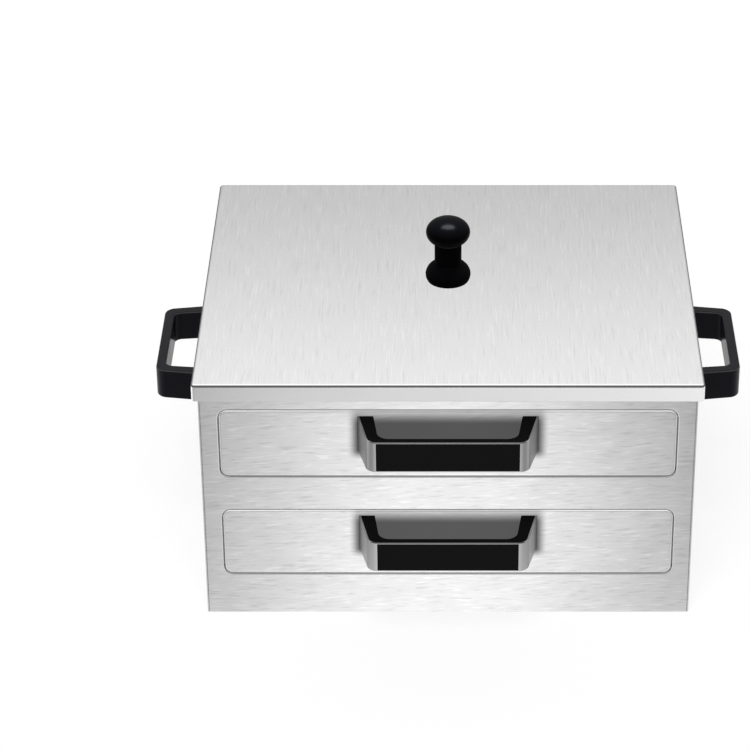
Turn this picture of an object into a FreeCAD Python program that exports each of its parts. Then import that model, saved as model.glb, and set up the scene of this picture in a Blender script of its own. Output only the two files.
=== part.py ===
# A two-drawer rice noodle roll steamer in folded stainless steel.
#
# A pan of water stands on the hob and closes the foot of the cabinet. Its steam rises past two
# shallow trays, which slide out on channel runners, and a lift-off lid covers the top.
# Frame: millimetres, +Z up, origin at the centre of the flat underside, drawers pull out to -Y.
import FreeCAD
import Part
import math
import os

V = FreeCAD.Vector

# ---- driving dimensions ----

# cabinet
cabinet_w = 391.0
cabinet_d = 337.0
cabinet_h = 216.0           # up to the flat top of the rim, where the lid rests
wall = 1.0                  # cabinet sheet
rear_corner_r = 4.0         # outside of the two folds between side and back
front_fold_r = 1.5          # outside of the folds at the front corners
front_flange = 15.0         # how far the front panel laps along the inside of each side

# rim that caps the cabinet walls
rim_leg = 9.0
rim_edge_r = 0.6
rim_corner_ease = 0.3       # keeps the rim's rear corners off the folds that they cap

# water pan
pan_sheet = 1.0
pan_headroom = 4.2          # from the pan's edge up to the lower drawer's pressed step
pan_corner_r = 6.0
pan_floor_r = 3.0
pan_clearance = 0.5         # from the pan's edge up to the notched front flanges

# lid
lid_sheet = 1.0
lid_skirt = 15.0
lid_clearance = 1.5         # from the rim to the hem inside the skirt
lid_hem = 4.0
lid_corner_r = 2.6
lid_fold_r = 1.5

# lid knob
knob_h = 56.0
knob_ball_r = 18.2
knob_ball_h = 24.6
knob_ball_side_r = 9.4      # the arc round the ball's widest ring
knob_neck_r = 11.1
knob_foot_r = 18.6
knob_foot_z = 5.0           # height of the foot's widest ring
knob_foot_h = 15.0          # up to where the foot meets the neck
knob_seat_r = 17.1          # the flat that meets the lid
knob_screw_r = 2.5
knob_screw_reach = 16.0     # how far the screw runs into the knob
knob_washer_r = 7.0
knob_washer_t = 1.0

# drawer fronts and the openings that they close
foot_h = 37.8               # from the floor up to the lower drawer front
front_between = 32.2        # from the lower drawer front up to the upper one
front_head = 24.8           # from the upper drawer front up to the top of the rim
front_side = 15.6           # from a drawer front to the cabinet's side
front_r = 8.0
front_sheet = 1.0
front_fold = 1.6            # outside of the fold round a drawer front
front_gap = 1.3             # groove between a drawer front and the cabinet
rebate_depth = 4.0          # the pressed step that a drawer front closes into
rebate_ledge = 8.0
rebate_edge = 0.5           # chamfer round the pressed step
opening_r = 5.0
seat_gap = 0.3              # drawer front to the step behind it
backing_t = 1.0
backing_gap = 0.3           # all round, inside the drawer front's folded edge

# steaming trays
tray_sheet = 0.8
tray_top_gap = 3.5          # opening edge to the top of the tray's lip
tray_under_gap = 13.5       # opening edge to the underside of the tray
tray_side_gap = 2.0         # opening edge to the tray's lip
tray_rear_gap = 18.0        # way for the steam behind the tray
tray_front_shelf = 12.0     # flange from the tray's front wall to the drawer front
tray_weld_h = 3.0           # turned-down edge that joins the flange to the drawer front
tray_lip_w = 10.3
tray_lip_h = 5.0
tray_corner_r = 5.0
tray_floor_r = 3.0

# runners
runner_sheet = 1.0
runner_leg = 10.0
runner_side_gap = 1.0       # lip to the runner's web
runner_under_gap = 0.3      # lip to the leg that carries it
runner_over_gap = 0.7       # lip to the leg that keeps the tray from tipping
runner_tab = 7.5
runner_fold_r = 1.3

# drawer grips
grip_face_w = 125.4         # over the front corners
grip_splay = 8.5            # how far each foot stands out past its front corner
grip_reach = 40.0
grip_h = 26.5               # of the bar
grip_foot_h = 30.7          # of the legs where they stand on the drawer front
grip_rise = 31.0            # how far out the underside climbs from foot to bar
grip_drop = 4.9             # from the top of the drawer front
grip_corner_r = 8.0
grip_cover = 2.5            # moulding round an insert, at the foot
grip_leg_t = 7.4            # leg thickness where it turns into the bar
grip_bar_t = 6.4
grip_inner_r = 8.5
grip_band_t = 1.6
grip_band_chamfer = 0.6     # along the band's upper outside edge
grip_core_edge = 0.4
grip_inlay_w = 111.6
grip_inlay_t = 0.8
grip_inlay_top = 0.9        # band left above the inlay
grip_inlay_bottom = 0.6
grip_screw_r = 2.0
grip_screw_reach = 10.0     # how far a screw runs into a grip's foot

# side handles
handle_face_w = 103.0       # over the outer corners of the bar
handle_splay = 7.0          # how far each foot stands out past its outer corner
handle_reach = 45.0
handle_h = 26.5
handle_drop = 56.0          # from the top of the rim
handle_cover = 2.2          # moulding round an insert, at the foot
handle_leg_t = 9.0
handle_bar_t = 8.0
handle_corner_r = 9.0
handle_inner_r = 6.5
handle_edge = 1.0           # chamfer along the moulding's free edges
handle_screw_r = 2.0
handle_screw_reach = 12.0
handle_plate_t = 1.5
handle_plate_h = 20.0
handle_plate_over = 7.0     # plate past each screw
handle_plate_r = 4.0

# fasteners
head_over = 2.0             # screw head radius past the shank
head_h = 2.6
head_edge = 0.9
screw_hole_over = 0.25      # clearance hole over a shank
thread_gap = 0.05           # shank to insert, and insert to the moulding round it
insert_t = 1.0              # brass round a screw
insert_over = 1.0           # insert past the screw's end

# ---- sizes that follow ----
front_w = cabinet_w - 2 * front_side
front_h = (cabinet_h - foot_h - front_between - front_head) / 2
drawer_pitch = front_h + front_between
pan_h = foot_h - front_gap - wall - pan_headroom
opening_h = front_h + 2 * (front_gap - rebate_ledge)
tray_depth = opening_h - tray_top_gap - tray_under_gap
side_x = cabinet_w / 2
inner_side_x = side_x - wall
front_y = -cabinet_d / 2
back_y = cabinet_d / 2
wall_top = cabinet_h - wall
ledge_y = front_y + rebate_depth
ledge_back_y = ledge_y + wall
lid_half_x = side_x + wall + lid_clearance + 2 * lid_sheet
lid_half_y = back_y + wall + lid_clearance + 2 * lid_sheet
lid_top = cabinet_h + lid_sheet
opening_half_w = front_w / 2 + front_gap - rebate_ledge
lip_half_w = opening_half_w - tray_side_gap
tray_half_w = lip_half_w - tray_lip_w
backing_y = front_y + front_sheet
tray_front_y = backing_y + backing_t
tray_wall_y = tray_front_y + tray_front_shelf
lip_back_y = back_y - wall - tray_rear_gap
tray_back_y = lip_back_y - tray_lip_w
runner_x = lip_half_w + runner_side_gap
handle_top_z = cabinet_h - handle_drop
handle_mid_z = handle_top_z - handle_h / 2

DRAWERS = {"lower": foot_h, "upper": foot_h + drawer_pitch}    # underside of each drawer front
SIDES = {"left": -1, "right": 1}
PLANE = 1e-4                # an edge nearer to a plane than this lies in it
PAST = 1.0                  # how far a cutting tool runs past the face that it cuts


# ---- shape helpers ----

def box(x0, x1, y0, y1, z0, z1):
    return Part.makeBox(x1 - x0, y1 - y0, z1 - z0, V(x0, y0, z0))


def to_space(axis, u, v, w):
    """The point (u, v) of an outline that lies w along the axis it is extruded on."""
    return {"X": V(w, u, v), "Y": V(u, w, v), "Z": V(u, v, w)}[axis]


def outline(axis, level, points, radii):
    """A closed wire through points, each corner rounded by a tangent arc of its own radius."""
    corners = [to_space(axis, u, v, level) for u, v in points]
    count = len(corners)
    if not isinstance(radii, (list, tuple)):
        radii = [radii] * count
    bends = []
    for i, corner in enumerate(corners):
        if radii[i] <= 0:
            bends.append((corner, None, corner))
            continue
        to_last = (corners[i - 1] - corner).normalize()
        to_next = (corners[(i + 1) % count] - corner).normalize()
        half_angle = to_last.getAngle(to_next) / 2
        back = radii[i] / math.tan(half_angle)
        centre = corner + (to_last + to_next).normalize() * (radii[i] / math.sin(half_angle))
        middle = centre + (corner - centre).normalize() * radii[i]
        bends.append((corner + to_last * back, middle, corner + to_next * back))
    edges = []
    for i, (start, middle, end) in enumerate(bends):
        if middle is not None:
            edges.append(Part.Arc(start, middle, end).toShape())
        following = bends[(i + 1) % count][0]
        if (following - end).Length > PLANE:
            edges.append(Part.LineSegment(end, following).toShape())
    return Part.Wire(edges)


def prism(axis, low, high, points, radii=0.0):
    """An outline extruded from low to high along an axis."""
    face = Part.Face(outline(axis, low, points, radii))
    return face.extrude(to_space(axis, 0, 0, high - low))


def rectangle(u0, u1, v0, v1):
    return [(u0, v0), (u1, v0), (u1, v1), (u0, v1)]


def cylinder(axis, u, v, low, high, radius):
    return Part.makeCylinder(radius, high - low, to_space(axis, u, v, low), to_space(axis, 0, 0, 1))


def edges_at(shape, axis, level):
    """The edges that lie in one plane across an axis."""
    found = []
    for edge in shape.Edges:
        span = edge.BoundBox
        spans = {"X": (span.XMin, span.XMax), "Y": (span.YMin, span.YMax), "Z": (span.ZMin, span.ZMax)}
        low, high = spans[axis]
        if abs(low - level) < PLANE and abs(high - level) < PLANE:
            found.append(edge)
    return found


def rounded(shape, radius, edges):
    return shape.makeFillet(radius, edges) if radius > 0.05 else shape


def mirrored(shape, side):
    """The shape as built for the right side, or its mirror image on the left."""
    return shape if side > 0 else shape.mirror(V(0, 0, 0), V(1, 0, 0))


def fused(shapes):
    return shapes[0].fuse(shapes[1:]).removeSplitter()


def folded_tray(half_x, y0, y1, closed_z, open_z, sheet, corner_r, fold_r):
    """Four sheet walls round a flat face at closed_z, open at open_z."""
    floor = closed_z + math.copysign(sheet, open_z - closed_z)
    outer = prism("Z", *sorted((closed_z, open_z)), rectangle(-half_x, half_x, y0, y1), corner_r)
    outer = rounded(outer, fold_r, edges_at(outer, "Z", closed_z))
    inside = rectangle(sheet - half_x, half_x - sheet, y0 + sheet, y1 - sheet)
    inner = prism("Z", *sorted((floor, open_z)), inside, max(corner_r - sheet, 0))
    inner = rounded(inner, fold_r - sheet, edges_at(inner, "Z", floor))
    return outer.cut(inner)


# ---- fasteners ----

def aimed(shape, direction, place):
    """A shape built along +Z, turned to point along direction and moved to place."""
    turned = shape.copy()
    turned.Placement = FreeCAD.Placement(place, FreeCAD.Rotation(V(0, 0, 1), direction))
    return turned


def screw(shank_r, length):
    """A pan head screw along +Z: its head is below z = 0 and its shank above."""
    head = Part.makeCylinder(shank_r + head_over, head_h, V(0, 0, -head_h))
    head = head.makeChamfer(head_edge, edges_at(head, "Z", -head_h))
    return fused([head, Part.makeCylinder(shank_r, length)])


def insert(shank_r, length):
    """A threaded brass sleeve along +Z, closed at its far end."""
    sleeve = Part.makeCylinder(shank_r + thread_gap + insert_t, length + insert_over)
    return sleeve.cut(Part.makeCylinder(shank_r + thread_gap, length))


def insert_bore(shank_r, length):
    return Part.makeCylinder(shank_r + 2 * thread_gap + insert_t, length + insert_over)


# ---- loops: drawer grips and side handles ----

def loop_half(foot_half, face_half, reach, depth, inset):
    """Half width of a splayed loop, depth out from its feet and inset from its outside."""
    splay = (foot_half - face_half) / reach
    return foot_half - splay * depth - inset * math.hypot(1, splay)


def loop_outside(foot_half, face_half, reach, inset=0.0):
    """The outer outline as (along the wall, out from the wall)."""
    feet = loop_half(foot_half, face_half, reach, 0, inset)
    bar = loop_half(foot_half, face_half, reach, reach - inset, inset)
    return [(-feet, 0), (feet, 0), (bar, reach - inset), (-bar, reach - inset)]


def loop_inside(foot_half, face_half, reach, foot_t, leg_t, bar_t):
    """The outline of the finger gap, run a little behind the wall."""
    bar_depth = reach - bar_t
    bar = loop_half(foot_half, face_half, reach, bar_depth, leg_t)
    feet = foot_half - foot_t
    behind = feet + (feet - bar) * PAST / bar_depth
    return [(-behind, -PAST), (behind, -PAST), (bar, bar_depth), (-bar, bar_depth)]


def leg_middle(foot_half, face_half, reach, foot_t, leg_t, bar_t, depth, inset=0.0):
    """How far from the loop's middle a leg's own middle lies, depth out from its foot."""
    outside = loop_half(foot_half, face_half, reach, depth, inset)
    feet = foot_half - foot_t
    bar_depth = reach - bar_t
    bar = loop_half(foot_half, face_half, reach, bar_depth, leg_t)
    return (outside + feet + (bar - feet) * depth / bar_depth) / 2


grip_foot_t = 2 * (grip_screw_r + 2 * thread_gap + insert_t + grip_cover) + grip_band_t
handle_foot_t = 2 * (handle_screw_r + 2 * thread_gap + insert_t + handle_cover)
GRIP = (grip_face_w / 2 + grip_splay, grip_face_w / 2, grip_reach)
GRIP_SECTION = (grip_foot_t, grip_leg_t, grip_bar_t)
HANDLE = (handle_face_w / 2 + handle_splay, handle_face_w / 2, handle_reach)
HANDLE_SECTION = (handle_foot_t, handle_leg_t, handle_bar_t)
grip_screw_x = leg_middle(*GRIP, *GRIP_SECTION, grip_screw_reach / 2, grip_band_t)
handle_screw_y = leg_middle(*HANDLE, *HANDLE_SECTION, handle_screw_reach / 2)


# ---- cabinet ----

def front_outline(z0, grow):
    """Corners of a drawer front whose underside is at z0, moved outwards by grow."""
    half = front_w / 2 + grow
    return rectangle(-half, half, z0 - grow, z0 + front_h + grow)


def front_panel():
    """The flat face, a flange folded back at each side and a pressed step round each opening."""
    half = inner_side_x
    flange_y = front_y + front_flange
    inner_fold = max(front_fold_r - wall, 0)
    points = [(-half, flange_y), (-half, front_y), (half, front_y), (half, flange_y),
              (half - wall, flange_y), (half - wall, front_y + wall),
              (wall - half, front_y + wall), (wall - half, flange_y)]
    radii = [0, front_fold_r, front_fold_r, 0, 0, inner_fold, inner_fold, 0]
    panel = prism("Z", 0, wall_top, points, radii)
    for side in SIDES.values():     # the flanges stop above the water pan
        notch = box(half - wall - PAST, half + PAST, front_y + wall + inner_fold, flange_y + PAST,
                    -PAST, pan_h + pan_clearance)
        panel = panel.cut(mirrored(notch, side))
    recess_r = front_r + front_gap
    for z0 in DRAWERS.values():
        recess = prism("Y", front_y - PAST, ledge_y, front_outline(z0, front_gap), recess_r)
        cup = prism("Y", front_y, ledge_back_y, front_outline(z0, front_gap + wall), recess_r + wall)
        opening = prism("Y", front_y - PAST, ledge_back_y + PAST,
                        front_outline(z0, front_gap - rebate_ledge), opening_r)
        panel = panel.fuse(cup).cut(recess).cut(opening)
    panel = panel.removeSplitter()
    half_recess = front_w / 2 + front_gap
    around = [edge for edge in edges_at(panel, "Y", front_y)
              if edge.BoundBox.XMin > -half_recess - PLANE and edge.BoundBox.XMax < half_recess + PLANE
              and edge.BoundBox.ZMin > PAST and edge.BoundBox.ZMax < wall_top - PAST]
    return panel.makeChamfer(min(rebate_edge, 0.8 * wall), around)


def body_wrap():
    """Both sides and the back, folded from one sheet."""
    inner_r = max(rear_corner_r - wall, 0)
    points = [(-side_x, front_y), (-side_x, back_y), (side_x, back_y), (side_x, front_y),
              (inner_side_x, front_y), (inner_side_x, back_y - wall),
              (-inner_side_x, back_y - wall), (-inner_side_x, front_y)]
    wrap = prism("Z", 0, wall_top, points, [0, rear_corner_r, rear_corner_r, 0, 0, inner_r, inner_r, 0])
    hole_r = handle_screw_r + screw_hole_over
    for y in (-handle_screw_y, handle_screw_y):
        for side in SIDES.values():
            hole = cylinder("X", y, handle_mid_z, inner_side_x - PAST, side_x + PAST, hole_r)
            wrap = wrap.cut(mirrored(hole, side))
    return wrap


def rim_block(grow, low, high):
    """A block over the cabinet's outline moved outwards by grow, its rear corners like the folds."""
    rear_r = max(rear_corner_r + grow - rim_corner_ease, 0)
    front_r = max(grow, 0)
    corners = rectangle(-side_x - grow, side_x + grow, front_y - grow, back_y + grow)
    return prism("Z", low, high, corners, [front_r, front_r, rear_r, rear_r])


def top_rim():
    """A channel that caps the wall tops all round and carries the lid on its flat web."""
    low = cabinet_h - rim_leg
    ring = rim_block(wall, low, cabinet_h).cut(rim_block(-3 * wall, low, cabinet_h))
    slot = rim_block(0, low, wall_top).cut(rim_block(-2 * wall, low, wall_top))
    ring = ring.cut(slot)
    return rounded(ring, min(rim_edge_r, 0.8 * wall), edges_at(ring, "Z", cabinet_h))


def water_pan():
    return folded_tray(inner_side_x, front_y + wall, back_y - wall, 0, pan_h, pan_sheet,
                       pan_corner_r, pan_floor_r)


def lip_top(z0):
    """Height of a tray's lip, for a drawer front whose underside is at z0."""
    return z0 + front_h + front_gap - rebate_ledge - tray_top_gap


def runner(z0, side):
    """A channel, open towards the tray, with a tab at each end for welding."""
    low = lip_top(z0) - tray_lip_h - runner_under_gap - runner_sheet
    high = lip_top(z0) + runner_over_gap + runner_sheet
    web_out = runner_x + runner_sheet
    tip = web_out - runner_leg
    inner_r = max(runner_fold_r - runner_sheet, 0)
    points = [(tip, low), (web_out, low), (web_out, high), (tip, high), (tip, high - runner_sheet),
              (runner_x, high - runner_sheet), (runner_x, low + runner_sheet), (tip, low + runner_sheet)]
    radii = [0, runner_fold_r, runner_fold_r, 0, 0, inner_r, inner_r, 0]
    channel = prism("Y", ledge_back_y, back_y - wall, points, radii)
    tab_low, tab_high = low + runner_fold_r, high - runner_fold_r
    tabs = [box(runner_x, web_out + runner_tab, y, y + runner_sheet, tab_low, tab_high)
            for y in (ledge_back_y, back_y - wall - runner_sheet)]
    return mirrored(fused([channel] + tabs), side)


# ---- lid ----

def lid_panel():
    """A shallow tray turned upside down, with a hem folded up inside its lower edge."""
    low = lid_top - lid_skirt
    shell = folded_tray(lid_half_x, -lid_half_y, lid_half_y, lid_top, low, lid_sheet, lid_corner_r,
                        lid_fold_r)

    def hem_block(inset):
        half_x, half_y = lid_half_x - inset, lid_half_y - inset
        return prism("Z", low, low + lid_hem, rectangle(-half_x, half_x, -half_y, half_y),
                     max(lid_corner_r - inset, 0))

    hem = hem_block(lid_sheet).cut(hem_block(2 * lid_sheet))
    hole = cylinder("Z", 0, 0, cabinet_h - PAST, lid_top + PAST, knob_screw_r + screw_hole_over)
    return fused([shell, hem]).cut(hole)


def bulge(ring_r, ring_z, end_r, end_z):
    """An arc upright at the ring (ring_r, ring_z) that ends at (end_r, end_z)."""
    across, along = ring_r - end_r, end_z - ring_z
    radius = (across ** 2 + along ** 2) / (2 * across)
    turn = math.atan2(along, end_r - ring_r + radius) / 2
    centre_r = ring_r - radius
    middle = V(centre_r + radius * math.cos(turn), 0, ring_z + radius * math.sin(turn))
    return Part.Arc(V(ring_r, 0, ring_z), middle, V(end_r, 0, end_z)).toShape()


def cap(half_h, side_r, ring_r, ring_z, end_r=0.0):
    """Half an oval from its ring up to end_r: a tight arc at the side and a flat one over the pole.

    half_h is negative for the lower half. Returns the edges from the ring and the end's height.
    """
    up = math.copysign(1, half_h)
    side_c = ring_r - side_r
    rise = abs(half_h)
    top_r = (side_c ** 2 + rise ** 2 - side_r ** 2) / (2 * (rise - side_r))
    lean = math.atan2(side_c, top_r - rise)
    join = (side_c + side_r * math.sin(lean), side_r * math.cos(lean))
    half_lean = (math.pi / 2 + lean) / 2
    side_mid = (side_c + side_r * math.sin(half_lean), side_r * math.cos(half_lean))
    end_lean = math.asin(end_r / top_r)
    mid_lean = (lean + end_lean) / 2

    def over(turn):
        return top_r * math.sin(turn), rise - top_r + top_r * math.cos(turn)

    def place(point):
        return V(point[0], 0, ring_z + up * point[1])

    end = over(end_lean)
    edges = [Part.Arc(place((ring_r, 0)), place(side_mid), place(join)).toShape(),
             Part.Arc(place(join), place(over(mid_lean)), place(end)).toShape()]
    return edges, ring_z + up * end[1]


def lid_knob():
    """A turned knob: a domed foot, a straight neck and a flattened ball."""
    ring_z = lid_top + knob_foot_z
    neck_z = lid_top + knob_foot_h
    ball_half = knob_ball_h / 2
    ball_z = lid_top + knob_h - ball_half
    upper, top_z = cap(ball_half, knob_ball_side_r, knob_ball_r, ball_z)
    lower, throat_z = cap(-ball_half, knob_ball_side_r, knob_ball_r, ball_z, knob_neck_r)
    middle = V(0, 0, lid_top)
    lines = [Part.LineSegment(middle, V(knob_seat_r, 0, lid_top)),
             Part.LineSegment(V(knob_neck_r, 0, neck_z), V(knob_neck_r, 0, throat_z)),
             Part.LineSegment(V(0, 0, top_z), middle)]
    edges = [line.toShape() for line in lines] + upper + lower
    edges += [bulge(knob_foot_r, ring_z, knob_seat_r, lid_top),
              bulge(knob_foot_r, ring_z, knob_neck_r, neck_z)]
    profile = Part.Wire(Part.__sortEdges__(edges))
    body = Part.Face(profile).revolve(middle, V(0, 0, 1), 360)
    bore = insert_bore(knob_screw_r, knob_screw_reach)
    return body.cut(aimed(bore, V(0, 0, 1), middle))


def knob_washer():
    low = cabinet_h - knob_washer_t
    ring = cylinder("Z", 0, 0, low, cabinet_h, knob_washer_r)
    return ring.cut(cylinder("Z", 0, 0, low, cabinet_h, knob_screw_r + screw_hole_over))


def knob_screw():
    body = screw(knob_screw_r, knob_washer_t + lid_sheet + knob_screw_reach)
    return aimed(body, V(0, 0, 1), V(0, 0, cabinet_h - knob_washer_t))


def knob_insert():
    return aimed(insert(knob_screw_r, knob_screw_reach), V(0, 0, 1), V(0, 0, lid_top))


# ---- drawers ----

def grip_top(z0):
    return z0 + front_h - grip_drop


def at_grip_screws(z0, y, shape):
    """Two copies of a shape built along +Z, pointing outwards from depth y."""
    z = grip_top(z0) - grip_foot_h / 2
    return [aimed(shape, V(0, -1, 0), V(x, y, z)) for x in (-grip_screw_x, grip_screw_x)]


def drawer_front(z0):
    """A shallow dish whose folded edge closes into the pressed step."""
    rear = ledge_y - seat_gap
    dish = prism("Y", front_y, rear, front_outline(z0, 0), front_r)
    dish = rounded(dish, front_fold, edges_at(dish, "Y", front_y))
    hollow = prism("Y", backing_y, rear, front_outline(z0, -front_sheet), front_r - front_sheet)
    hollow = rounded(hollow, front_fold - front_sheet, edges_at(hollow, "Y", backing_y))
    hole = Part.makeCylinder(grip_screw_r + screw_hole_over, front_sheet)
    return dish.cut([hollow] + at_grip_screws(z0, backing_y, hole))


def drawer_backing(z0):
    """A stiffening plate inside the drawer front, which the screws and the tray are fixed to."""
    inset = front_sheet + max(backing_gap, front_fold - front_sheet)
    plate = prism("Y", backing_y, tray_front_y, front_outline(z0, -inset), front_r - front_sheet)
    hole = Part.makeCylinder(grip_screw_r + screw_hole_over, backing_t)
    return plate.cut(at_grip_screws(z0, tray_front_y, hole))


def tray(z0):
    """A shallow tray with a turned-down lip at each side that rides in the runners."""
    top = lip_top(z0)
    shell = folded_tray(tray_half_w, tray_wall_y, tray_back_y, top - tray_depth, top, tray_sheet,
                        tray_corner_r, tray_floor_r)
    lip = box(-lip_half_w, lip_half_w, tray_front_y, lip_back_y, top - tray_sheet, top)
    mouth_half = tray_half_w - tray_sheet
    mouth = prism("Z", top - tray_sheet, top,
                  rectangle(-mouth_half, mouth_half, tray_wall_y + tray_sheet, tray_back_y - tray_sheet),
                  tray_corner_r - tray_sheet)
    low = top - tray_lip_h
    turned = [box(lip_half_w - tray_sheet, lip_half_w, tray_wall_y, lip_back_y, low, top),
              box(-lip_half_w, tray_sheet - lip_half_w, tray_wall_y, lip_back_y, low, top),
              box(-lip_half_w, lip_half_w, lip_back_y - tray_sheet, lip_back_y, low, top),
              box(-lip_half_w, lip_half_w, tray_front_y, tray_front_y + tray_sheet, top - tray_weld_h, top)]
    return fused([shell, lip.cut(mouth)] + turned)


def grip_prism(z0, points, radii):
    """A grip outline, given outwards from the drawer front, as high as the grip's feet."""
    top = grip_top(z0)
    return prism("Z", top - grip_foot_h, top, [(u, front_y - out) for u, out in points], radii)


def below_grip(z0):
    """The space under a grip: its underside climbs from the feet to the bar, then runs level."""
    foot, bar = grip_top(z0) - grip_foot_h, grip_top(z0) - grip_h
    behind = foot - PAST * (bar - foot) / grip_rise
    tip_y = front_y - grip_reach - PAST
    points = [(front_y + PAST, behind), (front_y - grip_rise, bar), (tip_y, bar),
              (tip_y, behind - PAST), (front_y + PAST, behind - PAST)]
    return prism("X", -GRIP[0] - PAST, GRIP[0] + PAST, points)


def grip_inlay_block(z0):
    top, tip_y = grip_top(z0), front_y - grip_reach
    return box(-grip_inlay_w / 2, grip_inlay_w / 2, tip_y, tip_y + grip_inlay_t,
               top - grip_h + grip_inlay_bottom, top - grip_inlay_top)


def grip_band(z0):
    """A satin strip bent round the outside of the grip, with a shallow seat for the inlay."""
    outer = grip_prism(z0, loop_outside(*GRIP), [0, 0, grip_corner_r, grip_corner_r])
    wall_edge = front_y - PLANE
    around = [edge for edge in edges_at(outer, "Z", grip_top(z0)) if edge.BoundBox.YMin < wall_edge]
    outer = outer.makeChamfer(min(grip_band_chamfer, 0.8 * grip_band_t), around)
    inner_r = grip_corner_r - grip_band_t
    inner = grip_prism(z0, loop_outside(*GRIP, grip_band_t), [0, 0, inner_r, inner_r])
    return outer.cut([inner, grip_inlay_block(z0), below_grip(z0)])


def grip_core(z0):
    """The black moulding inside the band: two splayed legs and the bar."""
    inner_r = grip_corner_r - grip_band_t
    block = grip_prism(z0, loop_outside(*GRIP, grip_band_t), [0, 0, inner_r, inner_r])
    gap = grip_prism(z0, loop_inside(*GRIP, *GRIP_SECTION), [0, 0, grip_inner_r, grip_inner_r])
    core = block.cut(gap)
    inner_face = front_y - grip_reach + grip_band_t + PLANE
    gap_edges = [edge for edge in edges_at(core, "Z", grip_top(z0))
                 if edge.BoundBox.YMin > inner_face
                 and abs(edge.BoundBox.Center.x) < grip_screw_x]
    core = core.makeChamfer(grip_core_edge, gap_edges)
    bore = insert_bore(grip_screw_r, grip_screw_reach)
    return core.cut([below_grip(z0)] + at_grip_screws(z0, front_y, bore))


def grip_screws(z0):
    length = backing_t + front_sheet + grip_screw_reach
    return Part.makeCompound(at_grip_screws(z0, tray_front_y, screw(grip_screw_r, length)))


def grip_inserts(z0):
    return Part.makeCompound(at_grip_screws(z0, front_y, insert(grip_screw_r, grip_screw_reach)))


# ---- side handles ----

def handle_prism(points, radii):
    """A handle outline, given outwards from the right side of the cabinet, raised to its height."""
    low = handle_top_z - handle_h
    return prism("Z", low, handle_top_z, [(side_x + out, u) for u, out in points], radii)


def at_handle_screws(x, side, shape):
    """Two copies of a shape built along +Z, pointing outwards through a side of the cabinet."""
    return [mirrored(aimed(shape, V(1, 0, 0), V(x, y, handle_mid_z)), side)
            for y in (-handle_screw_y, handle_screw_y)]


def side_handle(side):
    """A moulded loop lying flat, with a finger gap between it and the cabinet."""
    block = handle_prism(loop_outside(*HANDLE), [0, 0, handle_corner_r, handle_corner_r])
    gap = handle_prism(loop_inside(*HANDLE, *HANDLE_SECTION), [0, 0, handle_inner_r, handle_inner_r])
    loop = block.cut(gap)
    for level in (handle_top_z, handle_top_z - handle_h):
        free = [edge for edge in edges_at(loop, "Z", level) if edge.BoundBox.XMax > side_x + PLANE]
        loop = loop.makeChamfer(handle_edge, free)
    bore = insert_bore(handle_screw_r, handle_screw_reach)
    return mirrored(loop, side).cut(at_handle_screws(side_x, side, bore))


def handle_plate(side):
    """A plate inside the cabinet that spreads the load of both screws over the thin side."""
    half_y = handle_screw_y + handle_plate_over
    half_z = handle_plate_h / 2
    corners = rectangle(-half_y, half_y, handle_mid_z - half_z, handle_mid_z + half_z)
    plate = prism("X", inner_side_x - handle_plate_t, inner_side_x, corners, handle_plate_r)
    hole = Part.makeCylinder(handle_screw_r + screw_hole_over, handle_plate_t)
    return mirrored(plate, side).cut(at_handle_screws(inner_side_x - handle_plate_t, side, hole))


def handle_screws(side):
    length = handle_plate_t + wall + handle_screw_reach
    return Part.makeCompound(at_handle_screws(inner_side_x - handle_plate_t, side,
                                              screw(handle_screw_r, length)))


def handle_inserts(side):
    return Part.makeCompound(at_handle_screws(side_x, side, insert(handle_screw_r, handle_screw_reach)))


# ---- assembly ----

def build():
    nodes = {
        "front_panel": front_panel(),
        "body_wrap": body_wrap(),
        "top_rim": top_rim(),
        "water_pan": water_pan(),
        "lid_panel": lid_panel(),
        "lid_knob": lid_knob(),
        "knob_washer": knob_washer(),
        "knob_screw": knob_screw(),
        "knob_insert": knob_insert(),
    }
    for name, side in SIDES.items():
        nodes[name + "_handle"] = side_handle(side)
        nodes[name + "_handle_plate"] = handle_plate(side)
        nodes[name + "_handle_screws"] = handle_screws(side)
        nodes[name + "_handle_inserts"] = handle_inserts(side)
    for name, z0 in DRAWERS.items():
        nodes[name + "_drawer_front"] = drawer_front(z0)
        nodes[name + "_drawer_backing"] = drawer_backing(z0)
        nodes[name + "_tray"] = tray(z0)
        nodes[name + "_grip_core"] = grip_core(z0)
        nodes[name + "_grip_band"] = grip_band(z0)
        nodes[name + "_grip_inlay"] = grip_inlay_block(z0)
        nodes[name + "_grip_screws"] = grip_screws(z0)
        nodes[name + "_grip_inserts"] = grip_inserts(z0)
        for side_name, side in SIDES.items():
            nodes[f"{name}_{side_name}_runner"] = runner(z0, side)
    return nodes


def main():
    os.makedirs("parts", exist_ok=True)
    for name, shape in build().items():
        shape.exportStep(f"parts/{name}.step")
        print(f"{name}: {len(shape.Solids)} solid(s), {shape.Volume / 1000:.2f} cm3, valid {shape.isValid()}")


main()
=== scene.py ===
import math
import bmesh
import bpy
from mathutils import Matrix, Vector


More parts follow.
